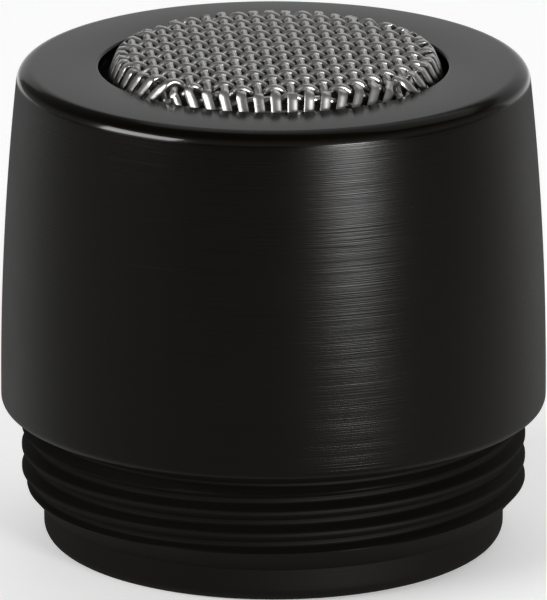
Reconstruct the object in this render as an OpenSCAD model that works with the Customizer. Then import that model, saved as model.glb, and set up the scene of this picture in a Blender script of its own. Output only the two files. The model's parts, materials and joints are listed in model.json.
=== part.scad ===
// Screw-in electret microphone capsule.
// Z points up through the grille. The origin is the centre of the foot of the pilot.
// All sizes are in millimetres.

/* [Housing] */
// Widest diameter of the housing, just above its shoulder
body_d = 12.2; // [11.8:0.1:13]
// Height of the housing from its shoulder to its top face
body_h = 7.76; // [7:0.01:9]
// Radius of the long curve that draws the side in towards the top
side_curve_r = 67; // [50:1:120]
// Radius of the rounded edge round the top face
top_edge_r = 0.37; // [0.2:0.01:0.5]
// Radius of the rounded edge at the foot of the side
low_edge_r = 0.2; // [0.1:0.01:0.25]
// Diameter of the opening in the top face
opening_d = 7.76; // [7.2:0.02:8]
// Radius of the rounded edge round the opening
opening_edge_r = 0.06; // [0.04:0.01:0.2]
// Thickness of the lip that the opening is cut in
lip_t = 0.7; // [0.5:0.05:0.9]

/* [Screw end] */
// Diameter over the crests of the male thread
thread_d = 11.3; // [10.9:0.1:11.6]
// Height from the pilot to the shoulder, lead cone and relief groove included
thread_h = 2.34; // [2:0.01:3]
// Height of the lead cone at the start of the thread
lead_h = 0.57; // [0.4:0.01:0.7]
// Depth of the relief groove below the thread crests
relief_depth = 0.22; // [0.15:0.01:0.28]
// Height of the flat floor of the relief groove
relief_flat = 0.06; // [0.04:0.01:0.2]
// How far outside the thread crests the shoulder's flat face starts
shoulder_gap = 0.03; // [0.02:0.01:0.06]
// Diameter of the plain pilot below the thread
pilot_d = 10.32; // [10:0.02:10.5]
// Height of the pilot
pilot_h = 0.77; // [0.6:0.01:1.2]
// Radius of the rounded edge at the foot of the pilot
pilot_edge_r = 0.34; // [0.1:0.01:0.4]
// Wall of the pilot, which sets the bore
pilot_wall = 0.53; // [0.45:0.01:0.6]

/* [Grille] */
// Thickness of the wire screen
screen_t = 0.24; // [0.2:0.01:0.3]
// Gap all round between the screen's skirt and the opening
screen_gap = 0.19; // [0.1:0.01:0.3]
// Height of the screen's crown above the top face
screen_proud = 0.46; // [0.3:0.01:0.6]
// Outer radius of the screen's shoulder bend
shoulder_r = 0.5; // [0.4:0.01:0.6]
// Radius of the shallow dome that the crown is pressed to
crown_r = 60; // [40:1:100]
// Distance from wire to wire
wire_pitch = 0.5; // [0.48:0.01:0.8]
// Width of a wire
wire_w = 0.2; // [0.14:0.01:0.24]

/* [Element] */
// Outer diameter of the element's can
can_d = 8; // [7.6:0.1:8.2]
// Height of the element's can
can_h = 4.4; // [4:0.1:4.8]
// Side wall of the can
can_wall = 0.25; // [0.2:0.01:0.3]
// Front wall of the can
can_front_t = 0.3; // [0.2:0.01:0.4]
// Thickness of the can's rolled rear edge
crimp_t = 0.25; // [0.2:0.01:0.3]
// How far the rolled rear edge reaches in over the board
crimp_w = 0.55; // [0.4:0.05:0.7]
// Diameter of a sound hole in the can's front
sound_hole_d = 0.7; // [0.5:0.05:0.8]
// Radius of the circle of sound holes
sound_circle_r = 1.6; // [1.4:0.1:2]
// Height of the diaphragm's clamping ring
ring_t = 0.45; // [0.3:0.05:0.6]
// Width of the diaphragm's clamping ring
ring_w = 0.6; // [0.4:0.05:0.7]
// Thickness that the diaphragm film is drawn at
film_t = 0.05; // [0.04:0.01:0.08]
// Thickness of the washer that sets the air gap
washer_t = 0.1; // [0.06:0.01:0.15]
// Thickness of the backplate
plate_t = 0.4; // [0.3:0.05:0.5]
// Diameter of a hole through the backplate
plate_hole_d = 0.6; // [0.4:0.05:0.7]
// Radius of the circle of backplate holes
plate_circle_r = 1.9; // [1.6:0.1:2.2]
// Wall of the backplate holder round the backplate
holder_wall = 0.3; // [0.2:0.05:0.35]
// Width of the ledge that carries the backplate
ledge_w = 0.4; // [0.3:0.05:0.45]
// Wall of the gate ring between backplate and board
gate_wall = 0.25; // [0.2:0.01:0.3]
// Thickness of the element's circuit board
element_board_t = 0.6; // [0.4:0.05:0.8]

/* [Circuit] */
// Length of the transistor's moulding
fet_l = 2.9; // [2.6:0.1:3]
// Width of the transistor's moulding
fet_w = 1.3; // [1.2:0.05:1.4]
// Height of the transistor's moulding
fet_h = 0.95; // [0.8:0.05:1.1]
// Stand-off under the transistor's moulding
fet_foot = 0.1; // [0.05:0.01:0.15]
// Width of a transistor leg
leg_w = 0.4; // [0.3:0.05:0.5]
// Thickness of a transistor leg
leg_t = 0.13; // [0.1:0.01:0.18]
// Distance between the two legs on one side of the transistor
leg_pitch = 1.9; // [1.7:0.1:2.1]
// How far a leg's foot reaches out from the moulding
leg_reach = 0.5; // [0.4:0.05:0.55]
// Length of a chip capacitor
chip_l = 1; // [0.8:0.05:1.1]
// Width of a chip capacitor
chip_w = 0.5; // [0.4:0.05:0.6]
// Height of a chip capacitor
chip_h = 0.5; // [0.3:0.05:0.6]
// Distance between the middles of the two chip capacitors
chip_pitch = 1.5; // [1.3:0.1:1.8]
// Distance of the chip capacitors from the middle of the board
chip_offset = 1.25; // [1.1:0.05:1.4]
// Distance of the transistor from the middle of the board
fet_offset = 0.75; // [0.7:0.05:0.9]

/* [Packing] */
// Thickness of the rubber gasket under the screen
gasket_t = 0.4; // [0.3:0.05:0.6]
// Inner diameter of the gasket
gasket_hole_d = 5.8; // [5:0.1:6.2]
// Thickness of the shock boot's lip behind the element
boot_lip_t = 0.5; // [0.3:0.05:0.7]
// Wall of the spacer sleeve
sleeve_wall = 0.6; // [0.5:0.05:0.8]
// Clearance between pieces that slide into one another
fit_gap = 0.05; // [0.03:0.01:0.06]

/* [Contact end] */
// Thickness of the contact board
contact_board_t = 0.8; // [0.6:0.05:1]
// Height of the retaining ring
retainer_h = 0.6; // [0.5:0.05:0.8]
// Width of the retaining ring
retainer_w = 0.85; // [0.7:0.05:1]
// How far the retaining ring sits above the pilot's foot
retainer_recess = 0.05; // [0.05:0.01:0.2]
// Width of the retaining ring's two key slots
key_slot_w = 0.8; // [0.6:0.1:1.2]
// Depth of the retaining ring's two key slots
key_slot_depth = 0.3; // [0.2:0.05:0.4]
// Diameter of the centre contact's head
centre_d = 1.9; // [1.5:0.1:2.4]
// Height of the centre contact's head
centre_t = 0.35; // [0.2:0.05:0.45]
// Inner diameter of the ring contact
ring_contact_d = 4.6; // [4:0.1:5]
// Width of the ring contact
ring_contact_w = 0.8; // [0.6:0.05:1]
// Thickness of the ring contact
ring_contact_t = 0.2; // [0.15:0.01:0.3]
// Diameter of the posts that pass through the contact board
post_d = 0.6; // [0.5:0.05:0.7]
// How far the posts stand above the contact board
post_tail = 0.25; // [0.15:0.05:0.4]
// Diameter of a lead over its insulation
lead_d = 0.5; // [0.4:0.05:0.6]

/* [Hidden] */
$fn = 96;
lead_sides = 8;
lead_rings = 14;
side_steps = 12;
edge_steps = 8;
sound_holes = 6;
plate_holes = 6;
ring_posts = 2;
// Shares of the screen's thickness left as wires running along X above and along Y below
wire_share = 0.45;
// Lowest angle on the shoulder bend that the wires are shown down to
wire_angle = 45;
// Where the two leads meet the element's board
signal_pad = [1.1, 0.6];
ground_pad = [-1.7, -0.5];
// Room beyond a surface so that a cut passes clean through it
clear = 1;

// Levels, from the foot up
shoulder_z = pilot_h + thread_h;
top_z = shoulder_z + body_h;
relief_top_z = shoulder_z - relief_depth - shoulder_gap;
relief_foot_z = relief_top_z - relief_flat;
thread_top_z = relief_foot_z - relief_depth;
lip_z = top_z - lip_t;
brim_z = lip_z - screen_t;
can_front_z = brim_z - gasket_t;
can_rear_z = can_front_z - can_h;
boot_rear_z = can_rear_z - boot_lip_t;
board_under_z = can_rear_z + crimp_t;
board_top_z = board_under_z + element_board_t;
ring_top_z = can_front_z - can_front_t;
film_top_z = ring_top_z - ring_t;
washer_top_z = film_top_z - film_t;
plate_top_z = washer_top_z - washer_t;
plate_under_z = plate_top_z - plate_t;
contact_under_z = retainer_recess + retainer_h;
contact_top_z = contact_under_z + contact_board_t;

// Radii
body_r = body_d / 2;
thread_r = thread_d / 2;
relief_r = thread_r - relief_depth;
pilot_r = pilot_d / 2;
bore_r = pilot_r - pilot_wall;
opening_r = opening_d / 2;
seat_r = bore_r - fit_gap;
skirt_r = opening_r - screen_gap;
can_r = can_d / 2;
can_bore_r = can_r - can_wall;
inner_r = can_bore_r - fit_gap;
crimp_r = can_bore_r - crimp_w;
plate_r = inner_r - holder_wall - fit_gap;
ledge_r = plate_r - ledge_w;
gate_r = ledge_r - fit_gap;
post_r = post_d / 2;
post_circle_r = (ring_contact_d + ring_contact_w) / 2;

// Side curve and top rounding: two arcs that run into each other
side_foot_z = shoulder_z + low_edge_r;
side_centre = [body_r - side_curve_r, side_foot_z];
round_rise = top_z - top_edge_r - side_foot_z;
round_run = sqrt(pow(side_curve_r - top_edge_r, 2) - pow(round_rise, 2));
round_centre = side_centre + [round_run, round_rise];
side_angle = atan2(round_rise, round_run);

// Crown and shoulder of the screen: two arcs that run into each other
bend_r = skirt_r - shoulder_r;
bend_rise = sqrt(pow(crown_r - shoulder_r, 2) - pow(bend_r, 2));
crown_z = top_z + screen_proud - crown_r;
bend_z = crown_z + bend_rise;
bend_angle = atan2(bend_rise, bend_r);
wire_field_r = bend_r + (shoulder_r - wire_share * screen_t) * cos(wire_angle);

// Points along an arc, first and last included
function arc(centre, radius, from, to, steps) = [
    for (i = [0:steps])
        let (angle = from + (to - from) * i / steps)
        centre + radius * [cos(angle), sin(angle)]
];

// All points but the first, for an outline that already has that one
function tail(points) = [for (i = [1:len(points) - 1]) points[i]];

// The screen's skin from low on the shoulder to the axis, moved in by a depth
function screen_skin(depth, from) = concat(
    arc([bend_r, bend_z], shoulder_r - depth, from, bend_angle, edge_steps),
    arc([0, crown_z], crown_r - depth, bend_angle, 90, edge_steps)
);

// How many whole cells of the weave fit beside the middle in a row of cells
function cells_in_row(row) =
    let (far = max(abs(row), abs(row + 1)) * wire_pitch)
    far < wire_field_r ? floor(sqrt(pow(wire_field_r, 2) - pow(far, 2)) / wire_pitch) : 0;

// A flat-ended ring from one level to another
module ring(outer_r, inner_r, from_z, to_z) {
    difference() {
        translate([0, 0, from_z]) cylinder(r = outer_r, h = to_z - from_z);
        translate([0, 0, from_z - clear]) cylinder(r = inner_r, h = to_z - from_z + 2 * clear);
    }
}

// A flat disc from one level to another
module disc(radius, from_z, to_z) {
    translate([0, 0, from_z]) cylinder(r = radius, h = to_z - from_z);
}

// Repeats a shape evenly round the axis
module around(count, radius) {
    for (i = [0:count - 1]) rotate([0, 0, i * 360 / count]) translate([radius, 0, 0]) children();
}

// The turned housing: top lip, drawn-in side, shoulder, thread blank and pilot
module housing() {
    outline = concat(
        [[bore_r, 0]],
        arc([pilot_r - pilot_edge_r, pilot_edge_r], pilot_edge_r, -90, 0, edge_steps),
        [
            [pilot_r, pilot_h],
            [thread_r, pilot_h + lead_h],
            [thread_r, thread_top_z],
            [relief_r, relief_foot_z],
            [relief_r, relief_top_z],
            [thread_r + shoulder_gap, shoulder_z]
        ],
        arc([body_r - low_edge_r, side_foot_z], low_edge_r, -90, 0, edge_steps),
        tail(arc(side_centre, side_curve_r, 0, side_angle, side_steps)),
        tail(arc(round_centre, top_edge_r, side_angle, 90, edge_steps)),
        arc([opening_r + opening_edge_r, top_z - opening_edge_r], opening_edge_r, 90, 180, edge_steps),
        [[opening_r, lip_z], [bore_r, lip_z]]
    );
    color("#1c1b1a") rotate_extrude() polygon(outline);
}

// Slots between the wires of one layer, cut to whole cells
module wire_slots() {
    rows = ceil(wire_field_r / wire_pitch);
    for (row = [-rows:rows - 1]) {
        cells = cells_in_row(row);
        if (cells > 0)
            translate([-cells * wire_pitch + wire_w / 2, row * wire_pitch + wire_w / 2, brim_z - clear])
                cube([2 * cells * wire_pitch - wire_w, wire_pitch - wire_w, top_z - brim_z + 3 * clear]);
    }
}

// Everything above, or below, a skin at some depth in the screen
module beyond_skin(depth, level) {
    skin = screen_skin(depth, 0);
    rotate_extrude() polygon(concat([[0, level], [skin[0][0], level]], skin));
}

// The wire screen: a domed cap with a brim, its crown cut to crossed wires
module grille_screen() {
    skin_out = screen_skin(0, 0);
    skin_in = screen_skin(screen_t, 0);
    cap = concat(
        [[seat_r, brim_z], [seat_r, lip_z], [skirt_r, lip_z]],
        skin_out,
        [for (i = [len(skin_in) - 1:-1:0]) skin_in[i]],
        [[skirt_r - screen_t, brim_z]]
    );
    color("#5b5957")
        difference() {
            rotate_extrude() polygon(cap);
            intersection() {
                wire_slots();
                beyond_skin((1 - wire_share) * screen_t, top_z + 2 * clear);
            }
            intersection() {
                rotate([0, 0, 90]) wire_slots();
                beyond_skin(wire_share * screen_t, brim_z - clear / 2);
            }
        }
}

// The foam disc that fills the screen's cap and rests on the gasket
module foam_disc() {
    skin = screen_skin(screen_t + fit_gap, 0);
    color("#3a3938") rotate_extrude() polygon(concat([[0, brim_z], [skin[0][0], brim_z]], skin));
}

// The rubber gasket between the screen's brim and the element
module front_gasket() {
    color("#222222") ring(seat_r, gasket_hole_d / 2, can_front_z, brim_z);
}

// The rubber boot that holds the element clear of the housing
module shock_boot() {
    color("#2a2a2a") {
        difference() {
            ring(seat_r, crimp_r, boot_rear_z, can_front_z);
            translate([0, 0, can_rear_z]) cylinder(r = can_r + fit_gap, h = can_h + clear);
        }
    }
}

// The drawn can, with its rear edge rolled in over the board
module element_can() {
    color("#b9bbbd")
        difference() {
            disc(can_r, can_rear_z, can_front_z);
            disc(can_bore_r, board_under_z, ring_top_z);
            disc(crimp_r, can_rear_z - clear, board_under_z + clear);
            around(sound_holes, sound_circle_r)
                translate([0, 0, ring_top_z - clear]) cylinder(d = sound_hole_d, h = can_front_t + 2 * clear);
            translate([0, 0, ring_top_z - clear]) cylinder(d = sound_hole_d, h = can_front_t + 2 * clear);
        }
}

// The ring that the diaphragm is stretched on
module diaphragm_ring() {
    color("#c8a24a") ring(inner_r, inner_r - ring_w, film_top_z, ring_top_z);
}

// The metallised film
module diaphragm() {
    color("#d8d8da") disc(inner_r, washer_top_z, film_top_z);
}

// The washer that sets the air gap
module air_gap_washer() {
    color("#d9c08a") ring(inner_r, inner_r - ring_w, plate_top_z, washer_top_z);
}

// The charged backplate
module backplate() {
    color("#c8a24a")
        difference() {
            disc(plate_r, plate_under_z, plate_top_z);
            around(plate_holes, plate_circle_r)
                translate([0, 0, plate_under_z - clear]) cylinder(d = plate_hole_d, h = plate_t + 2 * clear);
        }
}

// The moulded ring that carries the backplate clear of the can
module backplate_holder() {
    color("#e6e2d8")
        difference() {
            ring(inner_r, ledge_r, board_top_z, plate_top_z);
            translate([0, 0, plate_under_z]) cylinder(r = plate_r + fit_gap, h = plate_t + clear);
        }
}

// The ring that joins the backplate to the board
module gate_ring() {
    color("#c8a24a") ring(gate_r, gate_r - gate_wall, board_top_z, plate_under_z);
}

// The element's circuit board
module element_board() {
    color("#2f6b3c") disc(inner_r, board_under_z, board_top_z);
}

// The transistor's moulding
module transistor() {
    color("#1e1e1e")
        translate([-fet_l / 2, -fet_offset - fet_w / 2, board_top_z + fet_foot]) cube([fet_l, fet_w, fet_h]);
}

// One leg: out of the moulding, down, and flat along the board, pointing along +Y
module leg() {
    bend = leg_reach / 2;
    knee_z = fet_foot + (fet_h + leg_t) / 2;
    translate([-leg_w / 2, 0, 0])
        rotate([90, 0, 90])
            linear_extrude(leg_w)
                polygon([
                    [0, knee_z], [bend, knee_z], [bend, leg_t], [leg_reach, leg_t], [leg_reach, 0],
                    [bend - leg_t, 0], [bend - leg_t, knee_z - leg_t], [0, knee_z - leg_t]
                ]);
}

// The transistor's three legs: two on one side and one on the other
module transistor_legs() {
    color("#c9c9c6")
        translate([0, -fet_offset, board_top_z]) {
            for (side = [-1, 1])
                translate([side * leg_pitch / 2, -fet_w / 2, 0]) rotate([0, 0, 180]) leg();
            translate([0, fet_w / 2, 0]) leg();
        }
}

// Two chip capacitors beside the transistor
module chip_capacitors() {
    color("#b08d62")
        for (side = [-1, 1])
            translate([(side * chip_pitch - chip_l) / 2, chip_offset - chip_w / 2, board_top_z])
                cube([chip_l, chip_w, chip_h]);
}

// The sleeve that presses the boot forward from the contact board
module spacer_sleeve() {
    color("#e6e2d8") ring(seat_r, seat_r - sleeve_wall, contact_top_z, boot_rear_z);
}

// A lead between two points at the ends of its run, leaving both ends upright
module lead(foot, head, foot_z, head_z) {
    rise = head_z - foot_z;
    rings = [
        for (i = [0:lead_rings])
            let (t = i / lead_rings, at = foot + (head - foot) * t * t * (3 - 2 * t))
            for (k = [0:lead_sides - 1])
                let (angle = 360 * k / lead_sides)
                [at[0] + lead_d / 2 * cos(angle), at[1] + lead_d / 2 * sin(angle), foot_z + rise * t]
    ];
    walls = [
        for (i = [0:lead_rings - 1])
            for (k = [0:lead_sides - 1])
                let (a = i * lead_sides + k, b = i * lead_sides + (k + 1) % lead_sides)
                [a, a + lead_sides, b + lead_sides, b]
    ];
    last = lead_rings * lead_sides;
    ends = [
        [for (k = [0:lead_sides - 1]) k],
        [for (k = [lead_sides - 1:-1:0]) last + k]
    ];
    polyhedron(points = rings, faces = concat(ends, walls));
}

// The lead from the element to the centre contact
module signal_lead() {
    color("#b3262a") lead([0, 0], signal_pad, contact_top_z + post_tail, board_under_z);
}

// The lead from the element to the ring contact
module ground_lead() {
    color("#202020") lead([-post_circle_r, 0], ground_pad, contact_top_z + post_tail, board_under_z);
}

// The board that carries the two contacts
module contact_board() {
    color("#2f6b3c")
        difference() {
            disc(seat_r, contact_under_z, contact_top_z);
            disc(post_r + fit_gap, contact_under_z - clear, contact_top_z + clear);
            around(ring_posts, post_circle_r)
                disc(post_r + fit_gap, contact_under_z - clear, contact_top_z + clear);
        }
}

// The centre contact: a turned stud through the contact board
module centre_contact() {
    color("#d8ab45") {
        disc(centre_d / 2, contact_under_z - centre_t, contact_under_z);
        disc(post_r, contact_under_z - centre_t / 2, contact_top_z + post_tail);
    }
}

// The ring contact, with two posts through the contact board
module ring_contact() {
    color("#d8ab45") {
        ring(ring_contact_d / 2 + ring_contact_w, ring_contact_d / 2,
            contact_under_z - ring_contact_t, contact_under_z);
        around(ring_posts, post_circle_r)
            disc(post_r, contact_under_z - ring_contact_t / 2, contact_top_z + post_tail);
    }
}

// The ring that locks the stack into the bore, with two key slots
module retaining_ring() {
    color("#1c1b1a")
        difference() {
            ring(seat_r, seat_r - retainer_w, retainer_recess, contact_under_z);
            translate([-seat_r - clear, -key_slot_w / 2, retainer_recess - clear])
                cube([2 * (seat_r + clear), key_slot_w, key_slot_depth + clear]);
        }
}

housing();
grille_screen();
foam_disc();
front_gasket();
shock_boot();
element_can();
diaphragm_ring();
diaphragm();
air_gap_washer();
backplate();
backplate_holder();
gate_ring();
element_board();
transistor();
transistor_legs();
chip_capacitors();
spacer_sleeve();
signal_lead();
ground_lead();
contact_board();
centre_contact();
ring_contact();
retaining_ring();
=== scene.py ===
"""Looks of a screw-in microphone capsule: black turned housing, woven wire screen and contact end."""
import json
import math

import bmesh
import bpy
import numpy as np
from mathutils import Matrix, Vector


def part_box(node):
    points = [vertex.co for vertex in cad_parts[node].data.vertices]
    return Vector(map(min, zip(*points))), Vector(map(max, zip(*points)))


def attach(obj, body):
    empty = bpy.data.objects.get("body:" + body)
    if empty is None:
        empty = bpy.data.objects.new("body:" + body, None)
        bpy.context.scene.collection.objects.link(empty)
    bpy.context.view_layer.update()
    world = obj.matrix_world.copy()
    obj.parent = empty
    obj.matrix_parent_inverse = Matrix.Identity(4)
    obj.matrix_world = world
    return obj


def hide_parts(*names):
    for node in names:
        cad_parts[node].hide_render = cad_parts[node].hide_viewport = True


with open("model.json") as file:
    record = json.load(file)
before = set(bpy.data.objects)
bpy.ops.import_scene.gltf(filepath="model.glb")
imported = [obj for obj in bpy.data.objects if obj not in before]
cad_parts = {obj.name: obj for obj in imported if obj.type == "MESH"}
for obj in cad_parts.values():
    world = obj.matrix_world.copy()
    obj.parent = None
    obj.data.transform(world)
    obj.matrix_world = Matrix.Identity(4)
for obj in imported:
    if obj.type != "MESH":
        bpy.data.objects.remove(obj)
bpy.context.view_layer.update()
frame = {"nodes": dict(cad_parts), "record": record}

MM = 0.001


# Sizes that the frame gives

mounts = {mount["name"]: mount for mount in frame["record"]["mounts"]}
housing_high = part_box("housing")[1]
screen_low, screen_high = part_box("grille_screen")
body_r = housing_high.x
top_z = housing_high.z
crown_top_z = screen_high.z
brim_z = screen_low.z
seat_r = screen_high.x
shoulder_z = mounts["shoulder"]["pos_m"][2]


# Sizes of the housing's turned edges and thread

SIDE_CURVE_R = 67 * MM
TOP_EDGE_R = 0.37 * MM
LOW_EDGE_R = 0.2 * MM
OPENING_R = 3.88 * MM
OPENING_EDGE_R = 0.06 * MM
LIP_T = 0.7 * MM
THREAD_R = 5.65 * MM
THREAD_PITCH = 0.5 * MM
THREAD_DEPTH = 0.22 * MM
# Half of a crest's flat and half of a root's, as shares of the pitch, and the eased share of a flank
CREST_FLAT = 0.05
ROOT_FLAT = 0.07
FLANK_EASE = 0.15
FIRST_CREST_Z = 1.85 * MM
LEAD_H = 0.57 * MM
RELIEF_FLAT = 0.06 * MM
SHOULDER_GAP = 0.03 * MM
PILOT_R = 5.16 * MM
PILOT_H = 0.77 * MM
PILOT_EDGE_R = 0.34 * MM
PILOT_WALL = 0.53 * MM
BORE_R = PILOT_R - PILOT_WALL

# Sizes of the woven screen

SCREEN_T = 0.24 * MM
SCREEN_GAP = 0.19 * MM
CROWN_R = 60 * MM
CROWN_EDGE_R = 3.3 * MM
BEND_R = 0.3 * MM
FLANK_LEAN = math.radians(68)
BRIM_EDGE_R = 0.04 * MM
WIRE_D = 0.18 * MM
WEAVE_PITCH = 0.36 * MM
WEAVE_TURN = math.radians(4.2)
# Share of a pitch that each set of wires lies off the middle: those running along X, then along Y
WEAVE_START = (0.72, 0.3)
# Lean at which the press begins to flatten the wires, the further lean to its full effect, and how
# soon the effect sets in on either side of the weave's diagonals
PRESSED_FROM = math.radians(14)
PRESSED_OVER = math.radians(25)
PRESSED_SHARPNESS = 6
# How much wider and how much lower a fully pressed wire is, as shares of its radius
FLAT_SPREAD = 0.25
FLAT_SQUASH = 0.75
# The screen sits a little off the middle of its opening
SCREEN_SHIFT = np.array((0.05 * MM, 0, 0))

# Sizes of the contact end's finer features

BROKEN_EDGE = 0.06 * MM
BROKEN_EDGE_STEPS = 3
BROKEN_FROM_ANGLE = math.radians(40)
BOARD_WEAVE = 0.5 * MM

# Turning marks on the anodise: width of one, how many in a metre round the axis, and depth

MARK_WIDTH = 0.02 * MM
MARKS_ROUND = 150
MARK_DEPTH = 4.2e-6

# Fineness of the meshes: faces round the axis, rows in a thread's pitch, sides of a wire and its steps
# in a weave's pitch, and the step along the screen's profile

AROUND = 256
THREAD_ROWS = 20
WIRE_SIDES = 8
WIRE_STEPS = 10
LEAST_WIRE_STEPS = 8
PROFILE_STEP = 0.001 * MM

# Points closer than this are one, and edges sharper than these stay hard

WELD = 1.5e-6
SHARP_EDGE = math.radians(38)
SHARP_WIRE = math.radians(60)


class Field:
    """A value that varies over a surface. Operators on it add Math nodes to its finish."""

    def __init__(self, finish, socket):
        self.finish = finish
        self.socket = socket

    def math(self, operation, first, second):
        """Adds a Math node on two values."""
        return self.finish.node("ShaderNodeMath", {"operation": operation}, {0: first, 1: second})

    def __add__(self, other):
        return self.math("ADD", self, other)

    def __radd__(self, other):
        return self.math("ADD", other, self)

    def __sub__(self, other):
        return self.math("SUBTRACT", self, other)

    def __rsub__(self, other):
        return self.math("SUBTRACT", other, self)

    def __mul__(self, other):
        return self.math("MULTIPLY", self, other)

    def __rmul__(self, other):
        return self.math("MULTIPLY", other, self)

    def __pow__(self, other):
        return self.math("POWER", self, other)


class Finish:
    """One procedural material, built round a Principled shader."""

    def __init__(self, name):
        self.material = bpy.data.materials.new(name)
        self.material.use_nodes = True
        self.tree = self.material.node_tree
        self.shader = self.tree.nodes["Principled BSDF"]
        self.place = self.node("ShaderNodeTexCoord", {}, {}, "Object")

    def fill(self, node, sockets):
        """Links fields to a node's sockets and sets the other values on them."""
        for key, value in sockets.items():
            if isinstance(value, Field):
                self.tree.links.new(value.socket, node.inputs[key])
            else:
                node.inputs[key].default_value = value

    def node(self, kind, settings, sockets, output=0):
        """Adds a node: its settings first, then the values or links of its sockets."""
        made = self.tree.nodes.new(kind)
        for name, value in settings.items():
            setattr(made, name, value)
        self.fill(made, sockets)
        return Field(self, made.outputs[output])

    def surface(self, sockets):
        """Sets the shader's own sockets."""
        self.fill(self.shader, sockets)
        return self.material

    def blend(self, factor, first, second):
        """Mixes two colours."""
        settings = {"data_type": "RGBA"}
        return self.node("ShaderNodeMix", settings, {0: factor, 6: first, 7: second}, 2)

    def noise(self, place, scale, detail=2):
        """Noise from 0 to 1, with its scale in grains to a metre."""
        return self.node("ShaderNodeTexNoise", {}, {"Vector": place, "Scale": scale, "Detail": detail})

    def axes(self):
        """The three coordinates of the surface, in metres."""
        split = self.node("ShaderNodeSeparateXYZ", {}, {0: self.place})
        return [Field(self, output) for output in split.socket.node.outputs]

    def vector(self, x, y, z):
        """Three values as one vector."""
        return self.node("ShaderNodeCombineXYZ", {}, {0: x, 1: y, 2: z})

    def ramp(self, value, start, end, first, last):
        """Goes from a first to a last figure while a value goes from start to end."""
        sockets = {"Value": value, "From Min": start, "From Max": end, "To Min": first, "To Max": last}
        return self.node("ShaderNodeMapRange", {}, sockets)

    def seen_or_mirrored(self):
        """1 for rays from the camera, a mirror or glass, and 0 for rays that gather light for the object."""
        path = self.node("ShaderNodeLightPath", {}, {}).socket.node.outputs
        kinds = ("Is Camera Ray", "Is Glossy Ray", "Is Transmission Ray")
        camera, mirror, glass = (Field(self, path[kind]) for kind in kinds)
        return camera + mirror + glass

    def bump(self, height, depth, strength=1.0):
        """A normal from a height of 0 to 1 that stands for a depth in metres."""
        sockets = {"Height": height, "Distance": depth, "Strength": strength}
        return self.node("ShaderNodeBump", {}, sockets)


def grey(value):
    """An even grey of a given level."""
    return (value, value, value, 1)


def black_anodise():
    """Black anodised aluminium with turning marks, smoother on the top face and its rounded edge."""
    finish = Finish("black_anodise")
    x, y, z = finish.axes()
    radius = (x * x + y * y) ** 0.5
    # The marks change with the height on the side and with the radius on the faces
    along = z - 0.9 * radius
    place = finish.vector(x * MARKS_ROUND, y * MARKS_ROUND, along * (1 / MARK_WIDTH))
    marks = finish.noise(place, 1, 3)
    broad = finish.noise(finish.place, 700, 3)
    depth = top_z - z
    on_side = finish.ramp(depth, 0.2 * MM, 0.34 * MM, 0, 1)
    on_thread = finish.ramp(z, shoulder_z, shoulder_z - 0.1 * MM, 0, 1)
    # A band low on the rounded edge is sealed smoother than the rest and glints
    above_side = finish.ramp(depth, 0.29 * MM, 0.25 * MM, 0, 1)
    below_face = finish.ramp(depth, 0.14 * MM, 0.22 * MM, 0, 1)
    # The side loses gloss where it turns away
    edge = finish.node("ShaderNodeLayerWeight", {}, {"Blend": 0.5}, "Facing")
    return finish.surface({
        "Base Color": finish.blend(broad, (0.0009, 0.0005, 0, 1), (0.0013, 0.0008, 0.0001, 1)),
        "Roughness": 0.12 + (0.1 + 0.4 * edge * edge) * on_side + 0.35 * on_thread + 0.06 * broad,
        "Specular IOR Level": 0.085,
        "Coat Weight": 0.75 * above_side * below_face,
        "Coat Roughness": 0.12,
        "Normal": finish.bump(marks * (0.15 + 0.85 * on_side), MARK_DEPTH),
    })


def steel_wire():
    """Drawn steel wire, bright with duller patches."""
    finish = Finish("steel_wire")
    drawn = finish.noise(finish.place, 9000, 2)
    dull = finish.noise(finish.place, 1200, 3)
    return finish.surface({
        "Base Color": finish.blend(dull, (0.335, 0.33, 0.32, 1), (0.475, 0.47, 0.46, 1)),
        "Metallic": 1.0,
        "Roughness": 0.25 + 0.14 * dull,
        "Normal": finish.bump(drawn, 2e-6, 0.4),
    })


def grained(name, dark, light, grain, smooth, rough, depth, metallic=0.0):
    """A finish of two close colours in grains of a given size."""
    finish = Finish(name)
    fleck = finish.noise(finish.place, 1 / grain, 3)
    return finish.surface({
        "Base Color": finish.blend(fleck, dark, light),
        "Metallic": metallic,
        "Roughness": smooth + (rough - smooth) * fleck,
        "Normal": finish.bump(fleck, depth),
    })


def turned_metal(name, dark, light, mark_width, smooth, rough, depth):
    """Bare or plated metal with fine turning marks round the axis."""
    finish = Finish(name)
    x, y, z = finish.axes()
    along = (x * x + y * y) ** 0.5 + z
    marks = finish.noise(finish.vector(0, 0, along * (1 / mark_width)), 1, 3)
    worn = finish.noise(finish.place, 1800, 3)
    return finish.surface({
        "Base Color": finish.blend(0.5 * worn + 0.5 * marks, dark, light),
        "Metallic": 1.0,
        "Roughness": smooth + (rough - smooth) * worn,
        "Normal": finish.bump(marks, depth),
    })


def masked_board():
    """Green solder mask through which the glass weave of the board shows."""
    finish = Finish("circuit_board")
    turn_per_metre = 2 * math.pi / BOARD_WEAVE
    across, along = (
        finish.node("ShaderNodeMath", {"operation": "SINE"}, {0: axis * turn_per_metre})
        for axis in finish.axes()[:2]
    )
    weave = 0.5 + 0.5 * across * along
    fleck = finish.noise(finish.place, 4000, 3)
    return finish.surface({
        "Base Color": finish.blend(0.5 * weave + 0.5 * fleck, (0.008, 0.06, 0.02, 1), (0.025, 0.13, 0.05, 1)),
        "Roughness": 0.25 + 0.15 * fleck,
        "Normal": finish.bump(weave, 6e-6),
    })


finish_anodise = black_anodise()
finish_wire = steel_wire()


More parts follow.
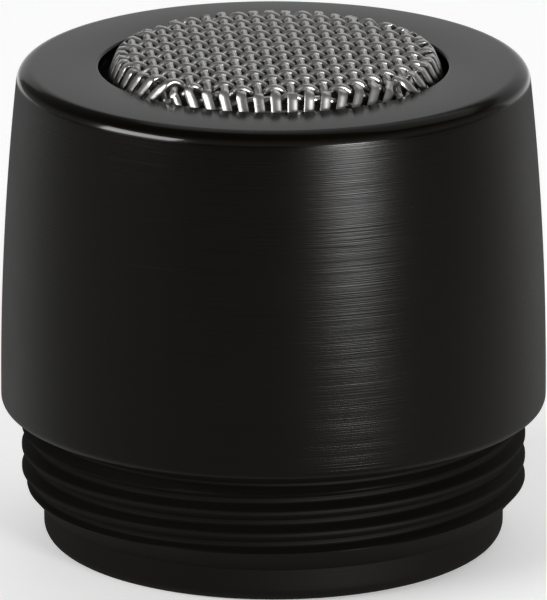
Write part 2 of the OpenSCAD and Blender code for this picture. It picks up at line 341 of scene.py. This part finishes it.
def piece(name, vertices, faces, material):
    """A mesh piece that rides on the root body."""
    mesh = bpy.data.meshes.new(name)
    mesh.from_pydata(vertices, [], faces)
    obj = bpy.data.objects.new(name, mesh)
    bpy.context.scene.collection.objects.link(obj)
    mesh.materials.append(material)
    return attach(obj, "root")


def weld(obj, sharp_angle):
    """Joins points that lie on each other, turns every face outward and keeps hard edges hard."""
    work = bmesh.new()
    work.from_mesh(obj.data)
    bmesh.ops.remove_doubles(work, verts=work.verts, dist=WELD)
    bmesh.ops.recalc_face_normals(work, faces=work.faces)
    work.to_mesh(obj.data)
    work.free()
    obj.data.shade_smooth()
    obj.data.set_sharp_from_angle(angle=sharp_angle)


def arc(centre, radius, start, end, steps):
    """Points along an arc in the radius and height plane, both ends included."""
    angles = np.radians(np.linspace(start, end, steps + 1))
    return [(centre[0] + radius * math.cos(a), centre[1] + radius * math.sin(a)) for a in angles]


def strip(radii, heights):
    """Points and faces of a surface of rows by columns; every row goes once round the axis."""
    rows, columns = radii.shape
    turn = np.linspace(0, 2 * math.pi, columns)
    points = np.stack([radii * np.cos(turn), radii * np.sin(turn), heights], axis=2).reshape(-1, 3)
    corner = np.arange(rows * columns).reshape(rows, columns)
    faces = np.stack(
        [corner[:-1, :-1], corner[:-1, 1:], corner[1:, 1:], corner[1:, :-1]], axis=2
    ).reshape(-1, 4)
    return points, faces


def turned(outline):
    """The strip that an outline of radius and height points sweeps round the axis."""
    outline = np.array(outline)
    radii = np.repeat(outline[:, :1], AROUND + 1, axis=1)
    heights = np.repeat(outline[:, 1:], AROUND + 1, axis=1)
    return strip(radii, heights)


def joined(shapes):
    """Several lists of points and faces as one."""
    points = []
    faces = []
    count = 0
    for shape_points, shape_faces in shapes:
        points.append(shape_points)
        faces += [[corner + count for corner in face] for face in shape_faces]
        count += len(shape_points)
    return np.concatenate(points), faces


def eased(share, soft):
    """A straight ramp from 0 to 1 whose two ends are rounded off."""
    early = share ** 2 / (2 * soft)
    late = 1 - soft - (1 - share) ** 2 / (2 * soft)
    ramp = np.where(share < soft, early, np.where(share > 1 - soft, late, share - soft / 2))
    return ramp / (1 - soft)


relief_top_z = shoulder_z - THREAD_DEPTH - SHOULDER_GAP
relief_foot_z = relief_top_z - RELIEF_FLAT
thread_top_z = relief_foot_z - THREAD_DEPTH


def thread_strip():
    """The screw thread: rows that climb along the helix, cut by the lead cone and the relief groove."""
    rise = THREAD_PITCH / THREAD_ROWS
    count = int((relief_foot_z - PILOT_H + THREAD_PITCH) / rise) + 2
    turn = np.linspace(0, 1, AROUND + 1)
    start = PILOT_H - THREAD_PITCH + rise * np.arange(count)
    heights = start[:, None] + THREAD_PITCH * turn[None, :]
    phase = ((heights - FIRST_CREST_Z) / THREAD_PITCH - turn[None, :]) % 1
    heights = np.clip(heights, PILOT_H, relief_foot_z)
    from_crest = np.minimum(phase, 1 - phase)
    share = np.clip((from_crest - CREST_FLAT) / (0.5 - CREST_FLAT - ROOT_FLAT), 0, 1)
    groove = THREAD_R - THREAD_DEPTH * eased(share, FLANK_EASE)
    cone = PILOT_R + (THREAD_R - PILOT_R) * (heights - PILOT_H) / LEAD_H
    runout = THREAD_R - (heights - thread_top_z)
    return strip(np.minimum(np.minimum(groove, cone), runout), heights)


def housing_shell():
    """The turned housing as the strips of its outline, with a true thread between pilot and relief."""
    side_foot_z = shoulder_z + LOW_EDGE_R
    side_centre = (body_r - SIDE_CURVE_R, side_foot_z)
    rise = top_z - TOP_EDGE_R - side_foot_z
    run = math.sqrt((SIDE_CURVE_R - TOP_EDGE_R) ** 2 - rise ** 2)
    round_centre = (side_centre[0] + run, side_centre[1] + rise)
    side_angle = math.degrees(math.atan2(rise, run))
    lip_z = top_z - LIP_T
    pilot = (
        [(BORE_R, 0)]
        + arc((PILOT_R - PILOT_EDGE_R, PILOT_EDGE_R), PILOT_EDGE_R, -90, 0, steps=10)
        + [(PILOT_R, PILOT_H)]
    )
    relief_r = THREAD_R - THREAD_DEPTH
    upper = (
        [(relief_r, relief_foot_z), (relief_r, relief_top_z), (THREAD_R + SHOULDER_GAP, shoulder_z)]
        + arc((body_r - LOW_EDGE_R, side_foot_z), LOW_EDGE_R, -90, 0, steps=8)
        + arc(side_centre, SIDE_CURVE_R, 0, side_angle, steps=40)[1:]
        + arc(round_centre, TOP_EDGE_R, side_angle, 90, steps=12)[1:]
        + arc((OPENING_R + OPENING_EDGE_R, top_z - OPENING_EDGE_R), OPENING_EDGE_R, 90, 180, steps=12)
        + [(OPENING_R, lip_z), (BORE_R, lip_z), (BORE_R, 0)]
    )
    points, faces = joined([turned(pilot), thread_strip(), turned(upper)])
    shell = piece("housing_shell", points, faces, finish_anodise)
    weld(shell, SHARP_EDGE)
    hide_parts("housing")


skirt_r = OPENING_R - SCREEN_GAP


def cap_profile():
    """Way out from the axis, radius, height and lean of the weave's middle: crown, bend, flank and skirt."""
    crown_lean = CROWN_EDGE_R / CROWN_R
    bend_r = BEND_R - WIRE_D
    bend_run = bend_r * (FLANK_LEAN - crown_lean)
    flank_r = CROWN_EDGE_R + bend_r * (math.sin(FLANK_LEAN) - math.sin(crown_lean))
    flank_run = (skirt_r - WIRE_D - flank_r) / math.cos(FLANK_LEAN)
    ends = np.cumsum([0, CROWN_EDGE_R, bend_run, flank_run, WIRE_D])
    leans = [0, crown_lean, FLANK_LEAN, FLANK_LEAN, math.pi / 2]
    way = np.arange(0, skirt_r + crown_top_z - brim_z, PROFILE_STEP)
    lean = np.interp(way, ends, leans)
    radius = np.cumsum(np.cos(lean)) * PROFILE_STEP
    height = crown_top_z - WIRE_D - np.cumsum(np.sin(lean)) * PROFILE_STEP
    kept = height > brim_z + SCREEN_T / 2
    return way[kept], radius[kept], height[kept], lean[kept]


cap_way, cap_radius, cap_height, cap_lean = cap_profile()
weave_reach = cap_way[-1]


def cap_surface(across, along):
    """Points, outward normals and lean of the weave's middle for flat weave coordinates."""
    run = np.hypot(across, along)
    turn = np.arctan2(along, across)
    lean = np.interp(run, cap_way, cap_lean)
    radius = np.interp(run, cap_way, cap_radius)
    height = np.interp(run, cap_way, cap_height)
    points = np.stack([radius * np.cos(turn), radius * np.sin(turn), height], axis=-1)
    normals = np.stack(
        [np.sin(lean) * np.cos(turn), np.sin(lean) * np.sin(turn), np.cos(lean)], axis=-1
    )
    return points, normals, lean


def wire_tube(path, normals, flatness):
    """A wire of points and faces along a path, closed at both ends, with its outside pressed flat."""
    half_width = WIRE_D / 2 * (1 + FLAT_SPREAD * flatness)
    flat_top = 1 - FLAT_SQUASH * flatness
    ahead = np.gradient(path, axis=0)
    ahead /= np.linalg.norm(ahead, axis=1)[:, None]
    side = np.cross(ahead, normals)
    side /= np.linalg.norm(side, axis=1)[:, None]
    rise = np.cross(side, ahead)
    angles = 2 * math.pi * np.arange(WIRE_SIDES) / WIRE_SIDES
    side = (side * half_width[:, None])[:, None, :]
    rise = (rise * WIRE_D / 2)[:, None, :]
    height = np.minimum(np.sin(angles)[None, :], flat_top[:, None])
    ring = np.cos(angles)[None, :, None] * side + height[:, :, None] * rise
    points = (path[:, None, :] + ring).reshape(-1, 3)
    corner = np.arange(len(points)).reshape(len(path), WIRE_SIDES)
    after = np.roll(corner, -1, axis=1)
    faces = np.stack([corner[:-1], after[:-1], after[1:], corner[1:]], axis=2).reshape(-1, 4).tolist()
    faces.append(corner[0].tolist()[::-1])
    faces.append(corner[-1].tolist())
    return points, faces


def woven_wire(number, warp):
    """One wire of the weave. Down the skirt the wires that run outward lie over those that run round."""
    offset = (number + WEAVE_START[warp]) * WEAVE_PITCH
    half = math.sqrt(weave_reach ** 2 - offset ** 2)
    steps = max(int(2 * half / WEAVE_PITCH * WIRE_STEPS), LEAST_WIRE_STEPS)
    run = np.linspace(-half, half, steps)
    flat = [run, np.full(steps, offset)]
    if warp:
        flat.reverse()
    across = flat[0] * math.cos(WEAVE_TURN) - flat[1] * math.sin(WEAVE_TURN)
    along = flat[0] * math.sin(WEAVE_TURN) + flat[1] * math.cos(WEAVE_TURN)
    middle, normals, lean = cap_surface(across, along)
    # Neighbouring wires start over and under by turns, and the crossing ones the other way
    side = -1 if (number % 2) ^ warp else 1
    woven = side * np.cos(math.pi * (run / WEAVE_PITCH - WEAVE_START[not warp]))
    # 1 where the wire runs outward, -1 where it runs round and 0 on the diagonals between
    outward = 2 * run ** 2 / np.maximum(run ** 2 + offset ** 2, WELD ** 2) - 1
    bent = np.clip((lean - PRESSED_FROM) / PRESSED_OVER, 0, 1)
    pressed = bent * np.clip(PRESSED_SHARPNESS * outward, -1, 1)
    flatness = np.maximum(pressed, 0)
    lift = WIRE_D / 2 * (woven * (1 - np.abs(pressed)) + pressed + FLAT_SQUASH * flatness)
    return wire_tube(middle + normals * lift[:, None] + SCREEN_SHIFT, normals, flatness)


def brim_ring():
    """The flat brim that the wires are pressed into, held under the housing's lip."""
    inner_r = skirt_r - SCREEN_T
    low_z = brim_z + BRIM_EDGE_R
    high_z = brim_z + SCREEN_T - BRIM_EDGE_R
    outline = (
        arc((inner_r + BRIM_EDGE_R, low_z), BRIM_EDGE_R, 180, 270, steps=3)
        + arc((seat_r - BRIM_EDGE_R, low_z), BRIM_EDGE_R, 270, 360, steps=3)
        + arc((seat_r - BRIM_EDGE_R, high_z), BRIM_EDGE_R, 0, 90, steps=3)
        + arc((inner_r + BRIM_EDGE_R, high_z), BRIM_EDGE_R, 90, 180, steps=3)
    )
    return turned(outline + outline[:1])


def woven_screen():
    """The screen: two sets of wires woven over and under one another, pressed to a cap with a brim."""
    half_count = int(weave_reach / WEAVE_PITCH) + 1
    wires = [
        woven_wire(number, warp)
        for warp in (False, True)
        for number in range(-half_count, half_count + 1)
        if abs(number + WEAVE_START[warp]) * WEAVE_PITCH < weave_reach - WIRE_D
    ]
    points, faces = joined(wires + [brim_ring()])
    screen = piece("woven_screen", points, faces, finish_wire)
    weld(screen, SHARP_WIRE)
    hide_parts("grille_screen")


housing_shell()
woven_screen()


# Finishes of the frame's own pieces by slot. The grained ones have two colours, the size of a grain, the
# least and the most roughness, the depth of a grain and 1 for metal; the turned ones have marks for grains.

plain_finishes = {
    "acoustic_foam": grained("acoustic_foam", grey(0.02), grey(0.07), 0.12 * MM, 0.9, 1.0, 3e-5),
    "soft_rubber": grained("soft_rubber", grey(0.012), grey(0.02), 0.2 * MM, 0.6, 0.75, 4e-6),
    "drawn_aluminium": grained("drawn_aluminium", grey(0.62), grey(0.72), 0.3 * MM, 0.3, 0.42, 2e-6, 1.0),
    "turned_brass": turned_metal(
        "turned_brass", (0.58, 0.38, 0.12, 1), (0.72, 0.52, 0.21, 1), 0.03 * MM, 0.25, 0.4, 3e-6
    ),
    "metallised_film": grained("metallised_film", grey(0.66), grey(0.76), 0.6 * MM, 0.16, 0.26, 1e-6, 1.0),
    "washer_film": grained(
        "washer_film", (0.6, 0.42, 0.16, 1), (0.68, 0.5, 0.22, 1), 0.4 * MM, 0.3, 0.45, 1e-6
    ),
    "ivory_moulding": grained(
        "ivory_moulding", (0.7, 0.66, 0.56, 1), (0.78, 0.74, 0.64, 1), 0.3 * MM, 0.4, 0.55, 3e-6
    ),
    "circuit_board": masked_board(),
    "black_epoxy": grained("black_epoxy", grey(0.012), grey(0.022), 0.1 * MM, 0.5, 0.7, 4e-6),
    "tinned_legs": grained("tinned_legs", grey(0.6), grey(0.7), 0.15 * MM, 0.25, 0.4, 2e-6, 1.0),
    "chip_ceramic": grained(
        "chip_ceramic", (0.4, 0.27, 0.14, 1), (0.5, 0.35, 0.2, 1), 0.1 * MM, 0.35, 0.5, 2e-6
    ),
    "red_insulation": grained(
        "red_insulation", (0.4, 0.02, 0.02, 1), (0.5, 0.04, 0.03, 1), 0.2 * MM, 0.4, 0.55, 2e-6
    ),
    "black_insulation": grained("black_insulation", grey(0.012), grey(0.02), 0.2 * MM, 0.4, 0.55, 2e-6),
    "gold_plate": turned_metal(
        "gold_plate", (0.68, 0.43, 0.12, 1), (0.88, 0.63, 0.25, 1), 0.03 * MM, 0.18, 0.3, 4e-6
    ),
    "black_anodised": finish_anodise,
    "screen_wire": finish_wire,
}
for subpart in frame["record"]["subparts"]:
    slots = frame["nodes"][subpart["node"]].data.materials
    slots.clear()
    slots.append(plain_finishes[subpart["material_slot"]])


def break_edges(node):
    """Rounds a piece's sharp edges, as deburring leaves them."""
    modifiers = frame["nodes"][node].modifiers
    joint = modifiers.new("joined_points", "WELD")
    joint.merge_threshold = WELD
    edge = modifiers.new("broken_edges", "BEVEL")
    edge.width = BROKEN_EDGE
    edge.segments = BROKEN_EDGE_STEPS
    edge.limit_method = "ANGLE"
    edge.angle_limit = BROKEN_FROM_ANGLE
    edge.harden_normals = True


for contact_piece in ("retaining_ring", "centre_contact", "ring_contact"):
    break_edges(contact_piece)


# Floor, light and camera

FLOOR_HALF = 0.45
FLOOR_DROP = 0.01 * MM
# Part of white that the floor shows to the camera and in mirrors, over the light that falls on it
FLOOR_SHOWN = 0.32
LAMP_DISTANCE = 0.6
LAMP_AIM = Vector((0, 0, 6 * MM))
# Azimuth and elevation in degrees, width and height in metres, and radiance of each lamp
SOFTBOXES = {
    "key_softbox": (34, 4, 0.17, 0.12, 88),
    "left_softbox": (-64, 22, 0.4, 0.22, 8.2),
    "rear_softbox": (165, 15, 1.0, 0.36, 0.6),
    "overhead_softbox": (150, 58, 0.7, 0.4, 0.9),
}
ROOM_LIGHT = 0.2
CAMERA_PLACE = (0, -196.49 * MM, 65.17 * MM)
CAMERA_PITCH = math.radians(16.917)
CAMERA_LENS = 551.55
CAMERA_SENSOR = 36
CAMERA_NEAR = 0.01


def studio_floor():
    """A white floor that the capsule stands on."""
    corners = [(-FLOOR_HALF, -FLOOR_HALF, 0), (FLOOR_HALF, -FLOOR_HALF, 0)]
    corners += [(FLOOR_HALF, FLOOR_HALF, 0), (-FLOOR_HALF, FLOOR_HALF, 0)]
    mesh = bpy.data.meshes.new("studio_floor")
    mesh.from_pydata(corners, [], [(0, 1, 2, 3)])
    floor = bpy.data.objects.new("studio_floor", mesh)
    floor.location.z = -FLOOR_DROP
    bpy.context.scene.collection.objects.link(floor)
    finish = Finish("white_floor")
    cloud = finish.noise(finish.place, 20)
    mesh.materials.append(finish.surface({
        "Base Color": finish.blend(cloud, grey(0.89), grey(0.92)),
        "Roughness": 0.8,
        "Emission Color": finish.blend(finish.seen_or_mirrored(), grey(0), grey(1)),
        "Emission Strength": FLOOR_SHOWN,
    }))


def softbox(name, azimuth, elevation, width, height, radiance):
    """An area lamp aimed at the capsule; azimuth runs from the camera's side towards +X."""
    lamp = bpy.data.lights.new(name, "AREA")
    lamp.shape = "RECTANGLE"
    lamp.size = width
    lamp.size_y = height
    lamp.energy = radiance * math.pi * width * height
    turn = math.radians(azimuth)
    rise = math.radians(elevation)
    away = Vector((math.sin(turn) * math.cos(rise), -math.cos(turn) * math.cos(rise), math.sin(rise)))
    holder = bpy.data.objects.new(name, lamp)
    holder.location = away * LAMP_DISTANCE + LAMP_AIM
    holder.rotation_euler = away.to_track_quat("Z", "Y").to_euler()
    holder.visible_camera = False
    bpy.context.scene.collection.objects.link(holder)


def studio_light():
    """The lamps, and a room that fills the shadows."""
    for name, settings in SOFTBOXES.items():
        softbox(name, *settings)
    world = bpy.data.worlds.new("studio_room")
    world.use_nodes = True
    room = world.node_tree.nodes["Background"]
    room.inputs["Color"].default_value = grey(1)
    room.inputs["Strength"].default_value = ROOM_LIGHT
    bpy.context.scene.world = world


def photo_camera():
    """The camera of the photograph: long lens, looking down on the capsule from the front."""
    camera = bpy.data.cameras.new("camera")
    camera.sensor_width = CAMERA_SENSOR
    camera.lens = CAMERA_LENS
    camera.clip_start = CAMERA_NEAR
    holder = bpy.data.objects.new("camera", camera)
    holder.location = CAMERA_PLACE
    holder.rotation_euler = (math.pi / 2 - CAMERA_PITCH, 0, 0)
    bpy.context.scene.collection.objects.link(holder)
    bpy.context.scene.camera = holder


studio_floor()
studio_light()
photo_camera()
bpy.context.scene.view_settings.view_transform = "Standard"
